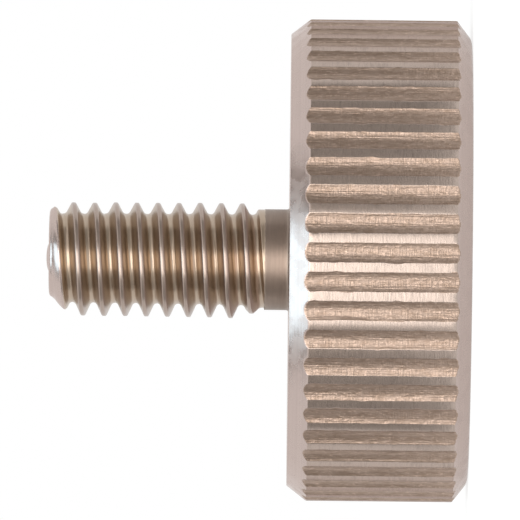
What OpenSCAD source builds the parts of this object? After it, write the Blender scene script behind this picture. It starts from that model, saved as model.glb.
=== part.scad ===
// Knurled wheel bolt, a thumb bolt turned from one bar: a thick wheel of a head with a straight
// knurl round its rim, a short plain neck and a rolled metric thread.
// It stands on the outer face of its head, with +Z along its axis towards the tip. The origin is on
// the axis, in that outer face. Lengths are in millimetres and angles in degrees.

/* [Head] */
// Diameter over the lands of the knurl
head_d = 16; // [12:0.5:24]
// Thickness of the head, from the outer face to the clamping face
head_h = 6; // [4:0.5:10]
// Height of the chamfer at the outer face, along the axis
outer_chamfer_h = 0.5; // [0.3:0.05:1]
// Width of the chamfer at the outer face, across the face
outer_chamfer_w = 0.65; // [0.3:0.05:1]
// Radius that rounds the outer face into its chamfer
face_round = 0.25; // [0.1:0.05:0.5]
// Height of the chamfer at the clamping face, along the axis
inner_chamfer_h = 0.65; // [0.3:0.05:1]
// Width of the chamfer at the clamping face, across the face
inner_chamfer_w = 0.5; // [0.3:0.05:1]

/* [Knurl] */
// Number of straight grooves round the rim
groove_count = 52; // [30:1:56]
// Width of a groove at its mouth
groove_w = 0.65; // [0.4:0.05:0.8]
// Depth of a groove below the lands
groove_depth = 0.15; // [0.08:0.01:0.2]

/* [Neck] */
// Diameter of the plain neck
neck_d = 3.35; // [3:0.05:3.5]
// Length of the neck, from the clamping face to the blank that the thread is rolled on
neck_l = 0.8; // [0.7:0.05:3]
// Radius of the fillet between the neck and the clamping face
neck_fillet = 0.08; // [0.04:0.02:0.3]

/* [Thread] */
// Major diameter of the thread
thread_d = 3.84; // [3.7:0.02:4.2]
// Pitch of the thread
thread_pitch = 0.7; // [0.5:0.05:0.8]
// Turns over which the thread rises from the blank to its full depth
runout_turns = 0.55; // [0.2:0.05:1]
// Angle about the axis at which the crest starts to rise from the blank
thread_start = 86; // [0:1:359]
// Distance from the neck to the crest, where it starts to rise
first_crest = 0.24; // [0:0.02:0.7]

/* [Tip] */
// Length of the shank, from the clamping face to its end face
shank_l = 7.97; // [5:0.01:16]
// Chamfer at the end of the thread
tip_chamfer = 0.45; // [0.1:0.05:0.6]
// Diameter of the low dome that is left where the bolt was parted off
pip_d = 0.9; // [0.5:0.1:1.4]
// Height of that dome above the end face
pip_h = 0.09; // [0.05:0.01:0.15]

/* [Hidden] */

head_r = head_d / 2;
neck_r = neck_d / 2;
neck_z = head_h + neck_l;
tip_z = head_h + shank_l;
outer_chamfer_angle = atan(outer_chamfer_h / outer_chamfer_w);

// A groove is part of a round cut, through the two corners of its mouth and the middle of its floor
groove_mouth_r = sqrt(head_r ^ 2 - (groove_w / 2) ^ 2);
groove_rise = groove_mouth_r - (head_r - groove_depth);
groove_r = ((groove_w / 2) ^ 2 + groove_rise ^ 2) / (2 * groove_rise);
groove_axis_r = head_r - groove_depth + groove_r;

// Standard 60 degree thread form, from its pitch
thread_r = thread_d / 2;
flank_angle = 30;
thread_depth = 0.6134 * thread_pitch;
root_r = thread_r - thread_depth;
crest_w = thread_pitch / 8;

// The thread is rolled on a blank a little smaller than the neck: its grooves are pressed into
// the blank, and its crests stand above it
blank_sink = 0.02;
blank_r = neck_r - blank_sink;
// Half widths of a crest where its flanks pass the blank, and where they reach the root
blank_reach = crest_w / 2 + (thread_r - blank_r) * tan(flank_angle);
root_reach = crest_w / 2 + thread_depth * tan(flank_angle);

// The helix has whole steps to a turn. Its crest stands out a little at each step, so that
// the envelope of the shank trims it to the true major diameter there.
turn_steps = 36;
crest_swell = 1.002;
// How many turns the helix runs inside the neck before it rises, and how far its end passes the tip
lead_in_turns = 1.6;
overrun = 0.3;
first_step = -round(lead_in_turns * turn_steps);
last_step = ceil((tip_z + overrun - neck_z - first_crest + thread_pitch) / thread_pitch * turn_steps);
cap_reach = thread_pitch / 2 + overrun;

ring_fn = 180;
groove_fn = 32;
face_round_steps = 3;
overcut = 1;

// Height of the crest at a step of the helix
function crest_z(step) = neck_z + first_crest + thread_pitch * step / turn_steps;

// Share of its full depth that the thread has at a step, from 0 on the blank to 1
function rise(step) = max(0, min(1, step / (runout_turns * turn_steps)));

function between(low, high, share) = low + (high - low) * share;

function on_helix(step, radius, z) =
    let (angle = thread_start + 360 * step / turn_steps)
    [radius * cos(angle), radius * sin(angle), z];

// The corners of the thread form at a step: root, blank, crest, crest, blank, root. The last one
// lies in the groove of the next turn.
function form(step) =
    let (
        low_root_r = between(blank_r, root_r, rise(step)),
        crest_r = between(blank_r, thread_r * crest_swell, rise(step)),
        high_root_r = between(blank_r, root_r, rise(step + turn_steps)),
        z = crest_z(step)
    )
    [
        on_helix(step, low_root_r, z - root_reach),
        on_helix(step, blank_r, z - blank_reach),
        on_helix(step, crest_r, z - crest_w / 2),
        on_helix(step, crest_r, z + crest_w / 2),
        on_helix(step, blank_r, z + blank_reach),
        on_helix(step, high_root_r, z + root_reach)
    ];

// Threaded rod: one strip wound round the axis, whose last corner meets the first corner a turn on,
// closed at each end by a fan to a point on the axis
module threaded_rod() {
    corner_count = len(form(first_step));
    steps = last_step - first_step;
    low_i = corner_count * (steps + 1);
    high_i = low_i + 1;
    // Place in the list of points of a corner, which may lie on the next turn or the last one
    function at(step, corner) =
        let (turns = floor(corner / corner_count))
        corner_count * (step + turn_steps * turns) + corner - corner_count * turns;
    strip = [
        for (step = [0 : steps - 1], corner = [0 : corner_count - 1])
            if (corner < corner_count - 1 || step + turn_steps < steps)
                each [
                    [at(step, corner), at(step, corner + 1), at(step + 1, corner)],
                    [at(step + 1, corner), at(step, corner + 1), at(step + 1, corner + 1)]
                ]
    ];
    low_fan = [
        for (step = [0 : turn_steps - 1]) [low_i, at(step, 0), at(step + 1, 0)],
        for (corner = [0 : corner_count - 1]) [low_i, at(0, corner + 1), at(0, corner)]
    ];
    high_fan = [
        for (step = [steps - turn_steps : steps - 1])
            [high_i, at(step + 1, corner_count - 1), at(step, corner_count - 1)],
        for (corner = [0 : corner_count - 1])
            [high_i, at(steps, corner - 1), at(steps, corner)]
    ];
    polyhedron(
        points = [
            for (step = [first_step : last_step]) each form(step),
            [0, 0, crest_z(first_step) - cap_reach],
            [0, 0, crest_z(last_step) + cap_reach]
        ],
        faces = concat(strip, low_fan, high_fan)
    );
}

// Everything that the major diameter and the chamfered end leave of the threaded rod
module shank() {
    intersection() {
        threaded_rod();
        rotate_extrude($fn = ring_fn)
            polygon([
                [0, 0],
                [thread_r, 0],
                [thread_r, tip_z - tip_chamfer],
                [thread_r - tip_chamfer, tip_z],
                [0, tip_z]
            ]);
    }
}

// Low dome on the end face, a cap of a ball that meets the face at the dome's diameter
module pip() {
    ball_r = ((pip_d / 2) ^ 2 + pip_h ^ 2) / (2 * pip_h);
    intersection() {
        translate([0, 0, tip_z + pip_h - ball_r])
            sphere(r = ball_r, $fn = ring_fn);
        translate([0, 0, tip_z - tip_chamfer])
            cylinder(d = pip_d, h = tip_chamfer + overcut, $fn = ring_fn);
    }
}

// Head and neck before knurling, as one turned profile
module turned_blank() {
    face_round_w = face_round * tan(outer_chamfer_angle / 2);
    face_edge = [
        for (step = [0 : face_round_steps])
            let (angle = 270 + outer_chamfer_angle * step / face_round_steps)
            [
                head_r - outer_chamfer_w - face_round_w + face_round * cos(angle),
                face_round * (1 + sin(angle))
            ]
    ];
    fillet = [
        for (angle = [270 : -30 : 180])
            [neck_r + neck_fillet * (1 + cos(angle)), head_h + neck_fillet * (1 + sin(angle))]
    ];
    rotate_extrude($fn = ring_fn)
        polygon(concat(
            [[0, 0]],
            face_edge,
            [
                [head_r, outer_chamfer_h],
                [head_r, head_h - inner_chamfer_h],
                [head_r - inner_chamfer_w, head_h]
            ],
            fillet,
            [[neck_r, neck_z], [0, neck_z]]
        ));
}

// Round cuts along the rim, which run out through both chamfers
module knurl_cuts() {
    for (i = [0 : groove_count - 1])
        rotate([0, 0, 360 * i / groove_count])
            translate([groove_axis_r, 0, -overcut])
                cylinder(r = groove_r, h = head_h + 2 * overcut, $fn = groove_fn);
}

module wheel_bolt() {
    color("#b3a292") {
        difference() {
            turned_blank();
            knurl_cuts();
        }
        shank();
        pip();
    }
}

wheel_bolt();
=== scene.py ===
"""Knurled wheel bolt: the finished bolt in its metals, and the pale studio it stands in."""

import math

import bmesh
import bpy
from mathutils import Matrix, Vector, noise


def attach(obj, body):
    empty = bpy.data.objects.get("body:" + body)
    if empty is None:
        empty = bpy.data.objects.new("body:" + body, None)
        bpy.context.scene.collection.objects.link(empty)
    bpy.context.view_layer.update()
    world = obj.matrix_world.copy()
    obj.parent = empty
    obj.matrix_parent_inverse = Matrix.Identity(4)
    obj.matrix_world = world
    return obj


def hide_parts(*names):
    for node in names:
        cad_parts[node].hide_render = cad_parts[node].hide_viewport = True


bl_info = {
    "name": "Knurled Wheel Bolt",
    "version": (1, 0, 0),
    "blender": (4, 5, 0),
    "location": "3D View > Sidebar > Wheel Bolt",
    "description": "A straight-knurled thumb bolt with a rolled thread, and a studio for it",
    "category": "Object",
}

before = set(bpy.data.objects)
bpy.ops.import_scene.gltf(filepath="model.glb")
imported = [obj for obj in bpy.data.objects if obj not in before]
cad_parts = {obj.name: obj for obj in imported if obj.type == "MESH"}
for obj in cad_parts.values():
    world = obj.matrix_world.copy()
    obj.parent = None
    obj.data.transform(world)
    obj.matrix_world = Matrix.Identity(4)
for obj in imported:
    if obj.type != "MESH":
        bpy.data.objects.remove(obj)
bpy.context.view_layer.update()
NODE = "wheel_bolt"
TURN = 2 * math.pi
# Properties and the stage are in metres. The bolt is shaped in millimetres and scaled when it is done.
MM = 0.001


def linear(hex_colour):
    """Turn an sRGB hex colour into the linear RGB that Blender's colours are given in."""
    channels = (int(hex_colour[i : i + 2], 16) / 255 for i in (1, 3, 5))
    return tuple(c / 12.92 if c <= 0.04045 else ((c + 0.055) / 1.055) ** 2.4 for c in channels)


def size(name, description, millimetres):
    """A length property, shown in the scene's own unit."""
    return bpy.props.FloatProperty(
        name=name,
        description=description,
        default=millimetres * MM,
        min=0,
        precision=5,
        unit="LENGTH",
    )


def colour(name, description, hex_colour):
    """A colour property."""
    return bpy.props.FloatVectorProperty(
        name=name,
        description=description,
        default=linear(hex_colour),
        size=3,
        min=0,
        max=1,
        subtype="COLOR",
    )


class WheelBoltHead(bpy.types.PropertyGroup):
    """Sizes of the knurled head."""

    diameter: size("Diameter", "Across the lands of the knurl", 16)
    thickness: size("Thickness", "From the outer face to the clamping face", 6)
    outer_chamfer_height: size("Outer chamfer height", "Along the axis", 0.5)
    outer_chamfer_width: size("Outer chamfer width", "Across the outer face", 0.65)
    inner_chamfer_height: size("Inner chamfer height", "Along the axis", 0.65)
    inner_chamfer_width: size("Inner chamfer width", "Across the clamping face", 0.5)
    groove_count: bpy.props.IntProperty(
        name="Grooves", description="Straight grooves round the rim", default=52, min=3
    )
    groove_width: size("Groove width", "Across the mouth of a groove", 0.65)
    groove_depth: size("Groove depth", "Below the lands", 0.11)
    raggedness: size("Raggedness", "How far the edge of a land wanders where the knurling tore it", 0.035)


class WheelBoltShank(bpy.types.PropertyGroup):
    """Sizes of the neck, the thread and the tip."""

    neck_diameter: size("Neck diameter", "Across the plain neck", 3.35)
    crest_diameter: size("Thread diameter", "Across the crests", 3.84)
    pitch: size("Pitch", "From one crest to the next", 0.7)
    crest_start: bpy.props.FloatProperty(
        name="Thread start",
        description="Angle about the axis at which the crest starts to rise from the blank",
        default=math.radians(86),
        subtype="ANGLE",
    )
    start_height: size("Start height", "Height at which the crest starts to rise", 7.04)
    runout: size("Run-out", "How far the crests lie off the axis", 0.045)
    length: size("Length", "From the clamping face to the end face", 7.97)
    tip_chamfer: size("Tip chamfer", "At the end of the thread", 0.53)
    tip_offset: size("Tip offset", "How far the tip's chamfer was cut off the axis", 0.16)
    pip_diameter: size("Pip diameter", "Across the dome left by parting off", 0.9)


class WheelBoltFinish(bpy.types.PropertyGroup):
    """Colours of the metal where it was worked in different ways."""

    turned: colour("Turned steel", "Chamfers and faces", "#c6b5ae")
    land: colour("Lands", "Turned rim left between the grooves", "#b5a59b")
    groove: colour("Grooves", "Pressed metal of the knurl", "#ab9688")
    groove_stain: colour("Groove stain", "Tarnish along the grooves", "#87715f")
    neck: colour("Neck", "Plain blank between the head and the thread", "#94857a")
    crest: colour("Crests", "Thread burnished by the dies", "#ab9b91")
    root: colour("Roots", "Tarnish at the thread's roots", "#b2a08e")


class WheelBoltStage(bpy.types.PropertyGroup):
    """The studio round the bolt."""

    floor: colour("Floor", "Pale seamless floor", "#fbfaf8")
    card: colour("Cards", "Gray cards that give the metal its darks", "#9c9895")
    front_level: bpy.props.FloatProperty(
        name="Front lamp", description="Radiance of the warm front lamp", default=2.4, min=0
    )
    top_level: bpy.props.FloatProperty(
        name="Top lamp", description="Radiance of the cool top lamp", default=2.5, min=0
    )


# Seams and centres that are closer than this are merged
SEAM = 0.0008


def wind(bm, geom, angle, steps, rise, copies):
    """Spin an outline through an angle about the axis, repeat that piece end to end, and merge the seams.

    One piece is spun and then repeated, because a spin of a thousand steps takes a minute."""
    spun = {"cent": (0, 0, 0), "axis": (0, 0, 1)}
    bmesh.ops.spin(bm, geom=geom, angle=angle, steps=steps, dvec=(0, 0, rise / steps), **spun)
    bmesh.ops.spin(
        bm,
        geom=bm.verts[:] + bm.edges[:] + bm.faces[:],
        angle=angle * (copies - 1),
        steps=copies - 1,
        dvec=(0, 0, rise),
        use_duplicate=True,
        **spun,
    )
    bmesh.ops.remove_doubles(bm, verts=bm.verts, dist=SEAM)


# Turned head

# Radii that round the outer face, the two edges of the rim, and the clamping face
FACE_ROUND, OUTER_ROUND, INNER_ROUND, CLAMP_ROUND = 0.5, 0.06, 0.12, 0.05
# Where the head's mesh gives way to the shank's, in the clamping face
INNER_RING = 3.0
# Share of each chamfer, from the rim, that the grooves run out in, so its mesh is fine
SCALLOPED = 0.34
# Spacing of the mesh's rings on a flat face, on a plain chamfer, along the rim, and where the grooves
# run out through the outer and the inner chamfer
FLAT_STEP, PLAIN_STEP, RIM_STEP, OUTER_STEP, INNER_STEP = 2.4, 0.3, 0.14, 0.045, 0.035
# How far in from the rim the columns of the knurl reach
KNURL_REACH = 0.8
# Columns of the rim in one pitch of the knurl, as shares of the groove's half width, then of the land
GROOVE_COLUMNS = (0, 0.25, 0.5, 0.7, 0.84, 0.93, 0.985)
LAND_COLUMNS = (0.1, 0.35)
# How far the edge of a land is rolled down, and the power with which that fades across it
LAND_DROOP, DROOP_END = 0.006, 6
# Height of the ridges along a groove, and the power with which they fade at its sides
RIDGE, RIDGE_END = 0.012, 4
# How deep in the surface a column has to lie to count as pressed
PRESSED = 0.004
# Noise fields along a land's edge: step from edge to edge, place, and waves in a millimetre of height
DRIFT_FIELD, FINE_FIELD, NICK_FIELD = (7.3, 0.0, 1.1), (3.1, 9.0, 4.5), (5.7, 21.0, 2.6)
# Shares of the drift and the fine wander, level from which the noise is a nick, and growth of nicks
DRIFT, FINE, NICK_FROM, NICK = 0.35, 0.4, 0.32, 3.2
# Noise field of the ridges: step from groove to groove, waves in a millimetre across, place, and waves
# in a millimetre of height
RIDGE_FIELD = (5.0, 9, 3.0, 0.6)


def spaced(start, end, spacing):
    """Points from start towards end at about the given spacing, without the end."""
    start, end = Vector(start), Vector(end)
    count = max(1, round((end - start).length / spacing))
    return [start.lerp(end, i / count) for i in range(count)]


def rounded(before, corner, after, radius, parts):
    """Points of the arc that rounds a corner of a profile."""
    before, corner, after = Vector(before), Vector(corner), Vector(after)
    to_before, to_after = (before - corner).normalized(), (after - corner).normalized()
    half = to_before.angle(to_after) / 2
    centre = corner + (to_before + to_after).normalized() * radius / math.sin(half)
    start = corner + to_before * radius / math.tan(half) - centre
    end = corner + to_after * radius / math.tan(half) - centre
    return [centre + start.slerp(end, i / parts).normalized() * radius for i in range(parts + 1)]


def head_profile(head):
    """Radius and height of the turned head, from the middle of its outer face to its inner ring."""
    radius = head.diameter / 2 / MM
    top = head.thickness / MM
    face = (radius - head.outer_chamfer_width / MM, 0)
    low = (radius, head.outer_chamfer_height / MM)
    high = (radius, top - head.inner_chamfer_height / MM)
    ring = (radius - head.inner_chamfer_width / MM, top)
    middle, hub = (0, 0), (INNER_RING, top)
    # Each stretch has the spacing of its rings and the points that end it
    stretches = [
        (FLAT_STEP, rounded(middle, face, low, FACE_ROUND, 6)),
        (PLAIN_STEP, [Vector(low).lerp(Vector(face), SCALLOPED)]),
        (OUTER_STEP, rounded(face, low, high, OUTER_ROUND, 3)),
        (RIM_STEP, rounded(low, high, ring, INNER_ROUND, 4)),
        (INNER_STEP, [Vector(high).lerp(Vector(ring), SCALLOPED)]),
        (PLAIN_STEP, rounded(high, ring, hub, CLAMP_ROUND, 4)),
        (FLAT_STEP, [Vector(hub)]),
    ]
    points = [Vector(middle)]
    for spacing, ending in stretches:
        points += spaced(points[-1], ending[0], spacing)[1:] + ending
    return points


def pitch_columns():
    """Places of the columns in one pitch: (side, is on the land, share), from the groove's middle."""
    right = [(1, False, s) for s in GROOVE_COLUMNS] + [(1, True, s) for s in LAND_COLUMNS]
    left = [(-1, land, s) for _, land, s in reversed(right[1:])]
    return right + [(1, True, 1.0)] + left


def edge_noise(field, edge, height):
    """Noise of one field at a height on one edge of a land."""
    step, place, waves = field
    return noise.noise(Vector((edge * step, place, height * waves)))


def edge_wander(head, edge, height):
    """How far the knurling tore one edge of a land at a height: a slow drift with sharp nicks."""
    drift = edge_noise(DRIFT_FIELD, edge, height)
    fine = edge_noise(FINE_FIELD, edge, height)
    nick = max(0.0, edge_noise(NICK_FIELD, edge, height) - NICK_FROM) * NICK
    return head.raggedness / MM * (DRIFT * drift + FINE * fine - nick)


def groove_floor(half_width, depth, arc):
    """How deep a groove is at a distance from its middle: part of a round cut through its mouth."""
    cut = (half_width**2 + depth**2) / (2 * depth)
    return math.sqrt(cut**2 - arc**2) - (cut - depth)


def groove_ridge(groove, arc, height):
    """Height of the ridges that the knurling wheel left along a groove."""
    step, across, place, along = RIDGE_FIELD
    return RIDGE * noise.noise(Vector((groove * step + arc * across, place, height * along)))


def knurl(bm, head):
    """Press the grooves into the turned rim by moving the columns of its mesh."""
    radius = head.diameter / 2 / MM
    half_width, depth = head.groove_width / 2 / MM, head.groove_depth / MM
    pitch_angle = TURN / head.groove_count
    half_pitch = pitch_angle * radius / 2
    columns = pitch_columns()
    in_groove = bm.verts.layers.float.new("in_groove")
    for vert in bm.verts:
        turned = vert.co.xy.length
        if turned < radius - KNURL_REACH:
            continue
        angle = math.atan2(vert.co.y, vert.co.x) % TURN
        column = round(angle / TURN * head.groove_count * len(columns))
        groove, place = divmod(column, len(columns))
        side, on_land, share = columns[place]
        if side < 0:
            groove += 1
        groove %= head.groove_count
        mouth = half_width - edge_wander(head, 2 * groove + (side > 0), vert.co.z)
        if on_land:
            arc = mouth + (half_pitch - mouth) * share
            pressed = radius - LAND_DROOP * (1 - share) ** DROOP_END
        else:
            arc = mouth * share
            ridge = groove_ridge(groove, side * arc, vert.co.z) * (1 - share**RIDGE_END)
            pressed = radius - groove_floor(half_width, depth, half_width * share) + ridge
        vert[in_groove] = 0.0 if on_land or pressed > turned - PRESSED else 1.0
        angle = groove * pitch_angle + side * arc / radius
        reach = min(turned, pressed)
        vert.co.x, vert.co.y = reach * math.cos(angle), reach * math.sin(angle)


def make_head(bm, head):
    """Spin the turned head and knurl its rim."""
    verts = [bm.verts.new((p.x, 0, p.y)) for p in head_profile(head)]
    edges = [bm.edges.new(pair) for pair in zip(verts, verts[1:])]
    wind(bm, verts + edges, TURN / head.groove_count, len(pitch_columns()), 0, head.groove_count)
    knurl(bm, head)


# Rolled shank

# Length of the plain neck, radius of its fillet at the clamping face, and steps of that fillet
NECK_LENGTH, NECK_FILLET, FILLET_STEPS = 0.8, 0.08, 4
# How far the blank that the thread is rolled on lies below the neck
BLANK_SINK = 0.012
# Points across one pitch of the thread, and steps of the helix to a turn
FORM_POINTS = 28
HELIX_STEPS = 96
# Rolled thread form: slope of its flanks, depth in pitches, flat of the crest and round of its edges
FLANK = math.radians(64)
THREAD_DEPTH = 0.58
CREST_FLAT, CREST_ROUND = 0.07, 0.04
# Turns over which the thread rises from the blank to its full depth
RUNOUT_TURNS = 0.55
# How much lower the crests are at the tip, how unevenly they are worn, and waves of that wear in a turn
CREST_TAPER, CREST_WEAR, WEAR_WAVES = 0.045, 0.022, 1.7
# Share of its depth that the thread loses for each millimetre that its crests lie off the axis
SHALLOWER = 1.8
# How near the thread comes to the cone of the tip's chamfer where their edge starts to wear round
EDGE_WEAR = 0.3
# How far above the clamping face the helix begins, and how far below the end face it stops
NECK_CUT, TIP_CUT = 0.55, 0.1
# Heights of the rings down the neck, and radius of the last ring, in the clamping face
NECK_RINGS, NECK_FOOT = (0.35, 0.15), 2.2
# Rings that round the edge of the end face: each one's depth below it, and how far in it lies
EDGE_RINGS = ((0.065, 0), (0.03, 0.045), (0.01, 0.12), (0, 0.22))
# Rings of the dome that parting off left: shares of its radius, and heights above the end face
DOME_RINGS = ((1.25, 0), (1.1, 0.004), (0.98, 0.02), (0.82, 0.05), (0.55, 0.075), (0.25, 0.087), (0, 0.09))


def thread_form(pitch, place):
    """How far a rolled thread drops below its crest at a place in its pitch, from -0.5 to 0.5 with the crest
    at 0: a narrow crest with soft edges, straight flanks, and a wide round root that meets them."""
    depth = THREAD_DEPTH * pitch
    slope, steepness = math.tan(FLANK), 1 / math.cos(FLANK) - 1
    root_round = (slope * (pitch - CREST_FLAT) / 2 - depth) / steepness - CREST_ROUND
    from_crest = abs(place) * pitch - CREST_FLAT / 2
    from_root = pitch / 2 - abs(place) * pitch
    if from_crest < 0:
        return 0
    if from_crest < CREST_ROUND * math.sin(FLANK):
        return CREST_ROUND - math.sqrt(CREST_ROUND**2 - from_crest**2)
    if from_root < root_round * math.sin(FLANK):
        return depth - root_round + math.sqrt(root_round**2 - from_root**2)
    return CREST_ROUND * (1 - math.cos(FLANK)) + slope * (from_crest - CREST_ROUND * math.sin(FLANK))


def tip_cone(shank, head, angle, z):
    """Radius at a height of the cone that chamfers the tip, which was cut a little off the axis."""
    tip = (head.thickness + shank.length) / MM
    at_tip = (shank.crest_diameter / 2 - shank.tip_chamfer) / MM
    return at_tip + tip - z + shank.tip_offset / MM * math.cos(angle)


def worn_edge(radius, cone):
    """The smaller of two radii, with the edge where they meet worn round."""
    near = max(0.0, EDGE_WEAR - abs(radius - cone))
    return min(radius, cone) - near**2 / (4 * EDGE_WEAR)


def risen(turns_on):
    """Share of its full depth that the thread has, some turns on from where its crest starts."""
    share = min(1.0, max(0.0, turns_on / RUNOUT_TURNS))
    return share * share * (3 - 2 * share)


def roll_thread(bm, shank, head):
    """Press the wound blank into the form of the thread, and cut the tip's cone off it."""
    pitch = shank.pitch / MM
    crest = shank.crest_diameter / 2 / MM
    neck = shank.neck_diameter / 2 / MM
    start_height, start = shank.start_height / MM, shank.crest_start
    clamp, length = head.thickness / MM, shank.length / MM
    blank = neck - BLANK_SINK
    for vert in bm.verts:
        angle = math.atan2(vert.co.y, vert.co.x)
        risen_by = (vert.co.z - start_height) / pitch
        wound = risen_by - (angle - start) / TURN
        place = wound - round(wound)
        turns_on = risen_by - place
        wear = noise.noise(Vector((math.cos(angle), math.sin(angle), turns_on)) * WEAR_WAVES)
        height = crest - CREST_TAPER * (vert.co.z - clamp) / length + CREST_WEAR * wear
        # The blank ran a little out of true between the dies, so one side is rolled deeper than the other
        uneven = shank.runout / MM * math.cos(angle)
        formed = height - uneven - thread_form(pitch, place) * (1 - SHALLOWER * uneven)
        # What is pressed below the blank belongs to the groove, which is a turn older on its upper side
        age = turns_on if formed > blank else turns_on + (place > 0)
        radius = blank + (formed - blank) * risen(age)
        if vert.co.z < clamp + NECK_LENGTH:
            radius = max(radius, neck)
        radius = worn_edge(radius, tip_cone(shank, head, angle, vert.co.z))
        vert.co.x, vert.co.y = radius * math.cos(angle), radius * math.sin(angle)


def make_shank(bm, shank, head):
    """Wind the thread as a screw, cut it off at both ends, and draw the neck and the tip out of the cuts."""
    pitch = shank.pitch / MM
    neck = shank.neck_diameter / 2 / MM
    clamp = head.thickness / MM
    tip = clamp + shank.length / MM
    first = shank.start_height / MM - pitch * (shank.crest_start / TURN + 1)
    turns = math.ceil((tip - first) / pitch) + 1
    heights = [first + pitch * (i / FORM_POINTS - 0.5) for i in range(FORM_POINTS + 1)]
    verts = [bm.verts.new((neck, 0, height)) for height in heights]
    edges = [bm.edges.new(pair) for pair in zip(verts, verts[1:])]
    wind(bm, verts + edges, TURN, HELIX_STEPS, pitch, turns)
    roll_thread(bm, shank, head)
    for height, low in ((clamp + NECK_CUT, True), (tip - TIP_CUT, False)):
        bmesh.ops.bisect_plane(
            bm,
            geom=bm.verts[:] + bm.edges[:] + bm.faces[:],
            dist=1e-5,
            plane_co=(0, 0, height),
            plane_no=(0, 0, 1),
            clear_inner=low,
            clear_outer=not low,
        )

    rings = [(clamp + z, plain(neck)) for z in NECK_RINGS]
    for step in range(FILLET_STEPS + 1):
        turn = math.pi / 2 * step / FILLET_STEPS
        outset, z = NECK_FILLET * (1 - math.cos(turn)), NECK_FILLET * (1 - math.sin(turn))
        rings.append((clamp + z, plain(neck + outset)))
    rings.append((clamp, plain(NECK_FOOT)))
    draw_out(bm, clamp + NECK_CUT, rings)

    def on_end_face(inset):
        """Rule for a ring that follows the edge of the end face, some way in."""
        edge_height = tip - EDGE_RINGS[0][0]
        return lambda angle, reach: min(reach, tip_cone(shank, head, angle, edge_height) - inset)

    pip = shank.pip_diameter / 2 / MM
    rings = [(tip - sunk, on_end_face(inset)) for sunk, inset in EDGE_RINGS]
    rings += [(tip + rise, plain(share * pip)) for share, rise in DOME_RINGS]
    last = draw_out(bm, tip - TIP_CUT, rings)
    bmesh.ops.remove_doubles(bm, verts=last, dist=SEAM)


def plain(radius):
    """Rule for a ring of one radius all round."""
    return lambda angle, reach: radius


def draw_out(bm, height, rings):
    """Extrude the open loop at a height through rings, each of a height and a rule for its radius,
    which is given the angle and the radius before."""
    edges = [e for e in bm.edges if e.is_boundary and all(abs(v.co.z - height) < SEAM for v in e.verts)]
    for z, rule in rings:
        made = bmesh.ops.extrude_edge_only(bm, edges=edges)["geom"]
        edges = [g for g in made if isinstance(g, bmesh.types.BMEdge)]
        verts = [g for g in made if isinstance(g, bmesh.types.BMVert)]
        for vert in verts:
            angle = math.atan2(vert.co.y, vert.co.x)
            radius = rule(angle, vert.co.xy.length)
            vert.co = (radius * math.cos(angle), radius * math.sin(angle), z)
    return verts


# Metals

# Sockets of the Mix node's two colours and of its result, which share their names with other types
MIX_A, MIX_B, MIX_RESULT = 6, 7, 2
# Radii up to which the thread has the colour of its roots, and from which it has that of its crests
ROOT_TO, CREST_FROM = 1.7 * MM, 1.84 * MM


def add_node(tree, kind, inputs=None, **settings):
    """Add a node with its settings, and set or link its inputs: a socket is linked, a value is set."""
    node = tree.nodes.new(kind)
    for name, value in settings.items():
        setattr(node, name, value)
    for key, value in (inputs or {}).items():
        if isinstance(value, bpy.types.NodeSocket):
            tree.links.new(value, node.inputs[key])
        else:
            node.inputs[key].default_value = value
    return node


def new_material(name):
    """An empty node material, with its tree and its output."""
    material = bpy.data.materials.new(name)
    material.use_nodes = True
    tree = material.node_tree
    tree.nodes.clear()
    return material, tree, add_node(tree, "ShaderNodeOutputMaterial")


def shade(rgb, factor=1.0):
    """RGBA of a colour, made lighter or darker by a factor."""
    return (*[min(1, c * factor) for c in rgb], 1)


def grain(tree, place, lengths, detail):
    """Noise whose features have the given lengths along X, Y and Z, in millimetres.

    Tool marks finer than 0.05 mm would not show, so they are drawn 0.05 to 0.08 mm wide."""
    scale = tuple(1000 / length for length in lengths)
    mapped = add_node(tree, "ShaderNodeMapping", {"Vector": place, "Scale": scale})
    spread = add_node(
        tree, "ShaderNodeTexNoise", {"Vector": mapped.outputs[0], "Scale": 1.0, "Detail": detail}
    )
    return spread.outputs["Fac"]


def stained(tree, clean, stain, value, low, high, most):
    """A colour that goes over to another, up to a share of it, as a value goes from low to high."""
    share = add_node(
        tree, "ShaderNodeMapRange",
        {"Value": value, "From Min": low, "From Max": high, "To Min": 0.0, "To Max": most},
    )
    tint = add_node(
        tree, "ShaderNodeMix",
        {"Factor": share.outputs[0], MIX_A: clean, MIX_B: stain},
        data_type="RGBA",
    )
    return tint.outputs[MIX_RESULT]


def from_axis(tree, place):
    """Distance of the shaded point from the bolt's axis."""
    flat = add_node(tree, "ShaderNodeVectorMath", {0: place, 1: (1, 1, 0)}, operation="MULTIPLY")
    return add_node(tree, "ShaderNodeVectorMath", {0: flat.outputs[0]}, operation="LENGTH").outputs["Value"]


def set_metal(tree, output, tint, roughness, relief, strength, depth, edge_tint=(1, 1, 1, 1)):
    """Make the material a metal of a tint, with a relief whose depth is in millimetres. Its edge tint
    colours what it reflects at a low angle."""
    bump = add_node(tree, "ShaderNodeBump", {"Height": relief, "Strength": strength, "Distance": depth * MM})
    shader = add_node(
        tree, "ShaderNodeBsdfPrincipled",
        {"Base Color": tint, "Metallic": 1.0, "Roughness": roughness,
         "Specular Tint": edge_tint, "Normal": bump.outputs[0]},
    )
    tree.links.new(shader.outputs[0], output.inputs["Surface"])


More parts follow.
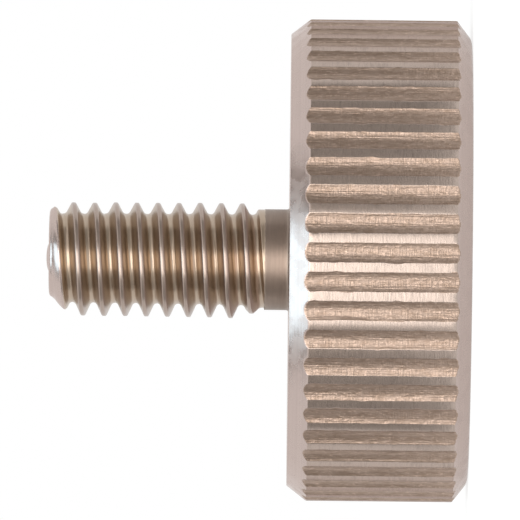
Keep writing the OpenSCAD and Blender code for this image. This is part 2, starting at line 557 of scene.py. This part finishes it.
def turned_steel(finish):
    """Steel faced with a lathe tool: clean and pale, with fine rings round the axis that draw the light out
    into streaks, and duller patches where it was handled."""
    material, tree, output = new_material("turned_steel")
    place = add_node(tree, "ShaderNodeTexCoord").outputs["Object"]
    height = add_node(tree, "ShaderNodeSeparateXYZ", {0: place}).outputs["Z"]
    across = add_node(tree, "ShaderNodeCombineXYZ", {"X": from_axis(tree, place), "Y": height})
    rings = grain(tree, across.outputs[0], (0.07, 0.07, 0.07), 3.0)
    patches = grain(tree, place, (0.5, 0.5, 0.5), 4.0)
    tint = add_node(
        tree, "ShaderNodeMix",
        {"Factor": rings, MIX_A: shade(finish.turned), MIX_B: shade(finish.turned, 0.86)},
        data_type="RGBA",
    )
    roughness = add_node(
        tree, "ShaderNodeMapRange",
        {"Value": patches, "From Min": 0.4, "From Max": 0.62, "To Min": 0.2, "To Max": 0.32},
    )
    set_metal(
        tree, output, tint.outputs[MIX_RESULT], roughness.outputs[0], rings,
        strength=0.3, depth=0.006, edge_tint=(0.92, 0.88, 0.86, 1),
    )
    return material


def knurled_land(finish):
    """Turned steel of the rim between the grooves: bright, with gray tool lines round the head that come
    and go in patches."""
    material, tree, output = new_material("turned_steel_land")
    place = add_node(tree, "ShaderNodeTexCoord").outputs["Object"]
    lines = grain(tree, place, (0.4, 0.4, 0.07), 2.0)
    patches = grain(tree, place, (0.6, 0.6, 0.6), 5.0)
    patchy_lines = add_node(tree, "ShaderNodeMath", {0: lines, 1: patches}, operation="ADD").outputs[0]
    gray = shade(finish.land, 0.55)
    tint = stained(tree, shade(finish.land), gray, patchy_lines, low=0.98, high=1.3, most=0.35)
    set_metal(
        tree, output, tint, roughness=0.22, relief=patchy_lines,
        strength=0.3, depth=0.007, edge_tint=(0.6, 0.52, 0.5, 1),
    )
    return material


def knurled_groove(finish):
    """Steel pressed by the knurling wheel: dull, with drag lines along the groove, tool lines across it,
    stains, and small bumps where the metal tore, with bright specks of painted glint on them."""
    material, tree, output = new_material("knurled_steel_groove")
    place = add_node(tree, "ShaderNodeTexCoord").outputs["Object"]
    drag = grain(tree, place, (0.05, 0.05, 1.5), 1.0)
    stains = grain(tree, place, (0.11, 0.11, 0.35), 4.0)
    lines = grain(tree, place, (0.35, 0.35, 0.06), 2.0)
    specks = grain(tree, place, (0.07, 0.07, 0.16), 3.0)
    # The third colour is the groove's own made 1.6 times lighter: painted glints for the bright specks
    clean, stain, glint_tint = shade(finish.groove), shade(finish.groove_stain), shade(finish.groove, 1.6)
    dull = stained(tree, clean, stain, stains, low=0.42, high=0.64, most=0.4)
    tint = stained(tree, dull, glint_tint, specks, low=0.56, high=0.72, most=0.6)
    across = add_node(tree, "ShaderNodeMath", {0: lines, 1: 0.8, 2: drag}, operation="MULTIPLY_ADD")
    relief = add_node(tree, "ShaderNodeMath", {0: across.outputs[0], 1: specks}, operation="ADD")
    set_metal(tree, output, tint, roughness=0.36, relief=relief.outputs[0], strength=0.9, depth=0.016)
    return material


def drawn_neck(finish):
    """Steel of the blank that was not rolled: duller than the thread, with fine rings round it."""
    material, tree, output = new_material("drawn_steel_neck")
    place = add_node(tree, "ShaderNodeTexCoord").outputs["Object"]
    rings = grain(tree, place, (0.9, 0.9, 0.06), 3.0)
    tint = add_node(
        tree, "ShaderNodeMix",
        {"Factor": rings, MIX_A: shade(finish.neck, 1.15), MIX_B: shade(finish.neck, 0.85)},
        data_type="RGBA",
    )
    set_metal(
        tree, output, tint.outputs[MIX_RESULT], roughness=0.42, relief=rings, strength=0.3, depth=0.006
    )
    return material


def rolled_thread(finish):
    """Steel rolled between dies: burnished at the crests, stained a warm brown towards the roots, with
    fine rings that the dies left."""
    material, tree, output = new_material("rolled_steel_thread")
    place = add_node(tree, "ShaderNodeTexCoord").outputs["Object"]
    rings = grain(tree, place, (0.8, 0.8, 0.08), 2.0)
    radius = from_axis(tree, place)
    root, crest = shade(finish.root), shade(finish.crest)
    tint = stained(tree, root, crest, radius, low=ROOT_TO, high=CREST_FROM, most=1.0)
    # The crests are burnished a little smoother than the roots
    roughness = add_node(
        tree, "ShaderNodeMapRange",
        {"Value": radius, "From Min": 1.74 * MM, "From Max": CREST_FROM, "To Min": 0.29, "To Max": 0.28},
    )
    set_metal(tree, output, tint, roughness.outputs[0], rings, strength=0.3, depth=0.006)
    return material


# Materials of the bolt's mesh, in the order of its slots
METALS = (turned_steel, knurled_land, knurled_groove, drawn_neck, rolled_thread)
TURNED, LAND, GROOVE, NECK, ROLLED = range(len(METALS))
# Share of a face's corners that lie in a groove, from which it has the groove's metal
IN_GROOVE = 0.45
# How far in from the rim a face of a land may lie
LAND_REACH = 0.3
# Height above the clamping face from which a face may belong to the tip's chamfer
ABOVE_NECK = 1


def metal_of(face, in_groove, head, shank):
    """Index of the metal that a face of the bolt is made of, from where it lies."""
    middle = face.calc_center_median()
    across, clamp = middle.xy.length, head.thickness / MM
    if middle.z > clamp + shank.length / MM - TIP_CUT:
        return TURNED
    if middle.z > clamp + ABOVE_NECK:
        # The worn edge lies up to a quarter of EDGE_WEAR below the cone
        cone = tip_cone(shank, head, math.atan2(middle.y, middle.x), middle.z)
        if across > cone - EDGE_WEAR / 4:
            return TURNED
    if middle.z > clamp + SEAM:
        return ROLLED if middle.z > clamp + NECK_LENGTH else NECK
    if sum(vert[in_groove] for vert in face.verts) / len(face.verts) > IN_GROOVE:
        return GROOVE
    low, high = head.outer_chamfer_height / MM, clamp - head.inner_chamfer_height / MM
    if across > head.diameter / 2 / MM - LAND_REACH and low < middle.z < high:
        return LAND
    return TURNED


class OBJECT_OT_wheel_bolt_turn(bpy.types.Operator):
    """Turn, knurl and thread the bolt, and give each worked surface its metal"""

    bl_idname = "object.wheel_bolt_turn"
    bl_label = "Make Wheel Bolt"

    def execute(self, context):
        scene = context.scene
        head, shank, finish = scene.wheel_bolt_head, scene.wheel_bolt_shank, scene.wheel_bolt_finish
        # Each part is shaped alone, and the shank then goes into the head's bmesh by way of the mesh
        mesh = bpy.data.meshes.new("bolt")
        bm = bmesh.new()
        make_shank(bm, shank, head)
        bm.to_mesh(mesh)
        bm.free()
        bm = bmesh.new()
        make_head(bm, head)
        bm.from_mesh(mesh)
        bmesh.ops.bridge_loops(bm, edges=[e for e in bm.edges if e.is_boundary])
        in_groove = bm.verts.layers.float["in_groove"]
        for face in bm.faces:
            face.smooth = True
            face.material_index = metal_of(face, in_groove, head, shank)
        bmesh.ops.scale(bm, vec=(MM, MM, MM), verts=bm.verts)
        bmesh.ops.recalc_face_normals(bm, faces=bm.faces)
        open_edges = sum(e.is_boundary for e in bm.edges)
        bm.to_mesh(mesh)
        bm.free()
        if open_edges:
            raise RuntimeError("the bolt's mesh is open")
        for make in METALS:
            mesh.materials.append(make(finish))
        bolt = bpy.data.objects.new("bolt", mesh)
        scene.collection.objects.link(bolt)
        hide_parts(NODE)
        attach(bolt, "root")
        return {"FINISHED"}


# Studio

# Height of the camera, which is the bolt's middle as it is seen, and of the front lamp above the camera
EYE, LAMP_RISE = 6.96 * MM, 0.24
# Height of the side cards, how far above the floor their foot lies, and where the foot ends, as a share
# of the way from the bolt to the card
SIDE_CARD, CARD_FOOT, FOOT_END = 0.17, 0.0005, 0.05
# Share of the floor's own light where it is seen, which keeps its shadows faint
FLOOR_GLOW = 0.75
# Lens and film in millimetres, distance in metres, place across the axis, and turns in degrees
LENS, FILM, CAMERA_DISTANCE, CAMERA_SHIFT = 979, 36, 0.47, -0.02 * MM
CAMERA_TURN, CAMERA_ROLL = math.radians(1.89), math.radians(0.65)


def add_card(name, material, width, depth, middle):
    """A level card of the studio, from its size along X and Y and the place of its middle."""
    bm = bmesh.new()
    bmesh.ops.create_grid(bm, x_segments=1, y_segments=1, size=0.5)
    bmesh.ops.scale(bm, vec=(width, depth, 1), verts=bm.verts)
    bmesh.ops.translate(bm, vec=middle, verts=bm.verts)
    return set_card(name, material, bm)


def add_side_card(name, material, start, end):
    """A card that stands on the floor between two points, and runs out along the floor towards the bolt."""
    bm = bmesh.new()
    edges = [bm.edges.new([bm.verts.new((*point, SIDE_CARD)) for point in (start, end)])]
    for drop, pull in ((SIDE_CARD - CARD_FOOT, 1), (0, FOOT_END)):
        made = bmesh.ops.extrude_edge_only(bm, edges=edges)["geom"]
        edges = [g for g in made if isinstance(g, bmesh.types.BMEdge)]
        verts = [g for g in made if isinstance(g, bmesh.types.BMVert)]
        bmesh.ops.translate(bm, vec=(0, 0, -drop), verts=verts)
        bmesh.ops.scale(bm, vec=(pull, pull, 1), verts=verts)
    return set_card(name, material, bm)


def set_card(name, material, bm):
    """Put a card's mesh on the stage."""
    mesh = bpy.data.meshes.new(name)
    bm.to_mesh(mesh)
    bm.free()
    mesh.materials.append(material)
    card = bpy.data.objects.new(name, mesh)
    bpy.context.scene.collection.objects.link(card)
    return card


def matte(name, rgb):
    """Matte paper of one colour."""
    material, tree, output = new_material(name)
    shader = add_node(tree, "ShaderNodeBsdfDiffuse", {"Color": shade(rgb)})
    tree.links.new(shader.outputs[0], output.inputs["Surface"])
    return material


def add_lamp(name, place, target, width, height, radiance, hex_colour):
    """A soft rectangular lamp that faces a point, of a given radiance."""
    data = bpy.data.lights.new(name, "AREA")
    data.shape = "RECTANGLE"
    data.size, data.size_y = width, height
    data.energy = radiance * math.pi * width * height
    data.color = linear(hex_colour)
    lamp = bpy.data.objects.new(name, data)
    away = (Vector(place) - Vector(target)).normalized()
    lamp.matrix_world = Matrix.Translation(place) @ away.to_track_quat("Z", "Y").to_matrix().to_4x4()
    lamp.visible_camera = False
    bpy.context.scene.collection.objects.link(lamp)


def floor_paper(rgb):
    """White paper that takes the bolt's shadow, and is a quarter as dark in it where it is seen or
    reflected."""
    material, tree, output = new_material("floor_paper")
    path = add_node(tree, "ShaderNodeLightPath").outputs
    seen = add_node(
        tree, "ShaderNodeMath", {0: path["Is Camera Ray"], 1: path["Is Glossy Ray"]}, operation="MAXIMUM"
    )
    share = add_node(tree, "ShaderNodeMath", {0: seen.outputs[0], 1: FLOOR_GLOW}, operation="MULTIPLY")
    lit = add_node(tree, "ShaderNodeBsdfDiffuse", {"Color": shade(rgb)})
    white = add_node(tree, "ShaderNodeEmission", {"Color": (1, 1, 1, 1), "Strength": 1.0})
    shaders = {0: share.outputs[0], 1: lit.outputs[0], 2: white.outputs[0]}
    mixed = add_node(tree, "ShaderNodeMixShader", shaders)
    tree.links.new(mixed.outputs[0], output.inputs["Surface"])
    return material


class SCENE_OT_wheel_bolt_stage(bpy.types.Operator):
    """Lay the floor, stand the cards, hang the lamps and place the camera"""

    bl_idname = "scene.wheel_bolt_stage"
    bl_label = "Set Stage"

    def execute(self, context):
        scene = context.scene
        stage = scene.wheel_bolt_stage
        add_card("floor", floor_paper(stage.floor), 0.9, 0.9, (0, 0, 0))
        paper = matte("card_paper", stage.card)
        cards = [
            add_side_card("card_right", paper, (0.17, -0.62), (0.3, -0.01)),
            add_side_card("card_left", paper, (-0.37, -0.6), (-0.3, 0.01)),
            add_card("card_over", paper, 0.57, 0.42, (-0.015, -0.09, 0.52)),
        ]
        for card in cards:
            card.visible_camera = card.visible_diffuse = card.visible_shadow = False
        level = EYE + LAMP_RISE
        add_lamp(
            "front_lamp", (-0.096, -0.612, level), (0, 0, level), 0.52, 1.1, stage.front_level, "#fffbf6"
        )
        add_lamp("top_lamp", (-0.05, -0.11, 0.5), (-0.05, -0.11, 0), 0.3, 0.3, stage.top_level, "#cdeeff")
        self.light_room(scene)
        self.place_camera(scene)
        scene.view_settings.view_transform = "Standard"
        return {"FINISHED"}

    def light_room(self, scene):
        """White surround at full strength."""
        world = bpy.data.worlds.new("white_room")
        world.use_nodes = True
        scene.world = world
        tree = world.node_tree
        tree.nodes.clear()
        background = add_node(tree, "ShaderNodeBackground", {"Color": (1, 1, 1, 1), "Strength": 1.0})
        output = add_node(tree, "ShaderNodeOutputWorld")
        tree.links.new(background.outputs[0], output.inputs["Surface"])

    def place_camera(self, scene):
        """A long lens at the height of the bolt's middle, lying on its side, so the tip points left."""
        data = bpy.data.cameras.new("camera")
        data.lens = LENS
        data.sensor_width = FILM
        data.clip_start, data.clip_end = 0.01, 3
        camera = bpy.data.objects.new("camera", data)
        scene.collection.objects.link(camera)
        scene.camera = camera
        back = Vector((-math.sin(CAMERA_TURN), -math.cos(CAMERA_TURN), 0))
        left = Vector((0, 0, 1))
        up = back.cross(-left)
        across = -left * math.cos(CAMERA_ROLL) + up * math.sin(CAMERA_ROLL)
        upward = left * math.sin(CAMERA_ROLL) + up * math.cos(CAMERA_ROLL)
        rotation = Matrix((across, upward, back)).transposed().to_4x4()
        place = back * CAMERA_DISTANCE + Vector((CAMERA_SHIFT, 0, EYE))
        camera.matrix_world = Matrix.Translation(place) @ rotation


class VIEW3D_PT_wheel_bolt(bpy.types.Panel):
    """Sizes, finishes and steps of the wheel bolt"""

    bl_idname = "VIEW3D_PT_wheel_bolt"
    bl_label = "Wheel Bolt"
    bl_space_type = "VIEW_3D"
    bl_region_type = "UI"
    bl_category = "Wheel Bolt"

    def draw(self, context):
        layout = self.layout
        for group in GROUPS:
            settings = getattr(context.scene, group)
            box = layout.box()
            for name in settings.bl_rna.properties.keys():
                if name not in ("rna_type", "name"):
                    box.prop(settings, name)
        layout.operator(OBJECT_OT_wheel_bolt_turn.bl_idname)
        layout.operator(SCENE_OT_wheel_bolt_stage.bl_idname)


GROUPS = {
    "wheel_bolt_head": WheelBoltHead,
    "wheel_bolt_shank": WheelBoltShank,
    "wheel_bolt_finish": WheelBoltFinish,
    "wheel_bolt_stage": WheelBoltStage,
}
CLASSES = (*GROUPS.values(), OBJECT_OT_wheel_bolt_turn, SCENE_OT_wheel_bolt_stage, VIEW3D_PT_wheel_bolt)


def register():
    for cls in CLASSES:
        bpy.utils.register_class(cls)
    for name, group in GROUPS.items():
        setattr(bpy.types.Scene, name, bpy.props.PointerProperty(type=group))


def unregister():
    for name in GROUPS:
        delattr(bpy.types.Scene, name)
    for cls in reversed(CLASSES):
        bpy.utils.unregister_class(cls)


def main():
    """Make the bolt and its stage."""
    register()
    bpy.ops.object.wheel_bolt_turn()
    bpy.ops.scene.wheel_bolt_stage()


if __name__ == "__main__":
    main()
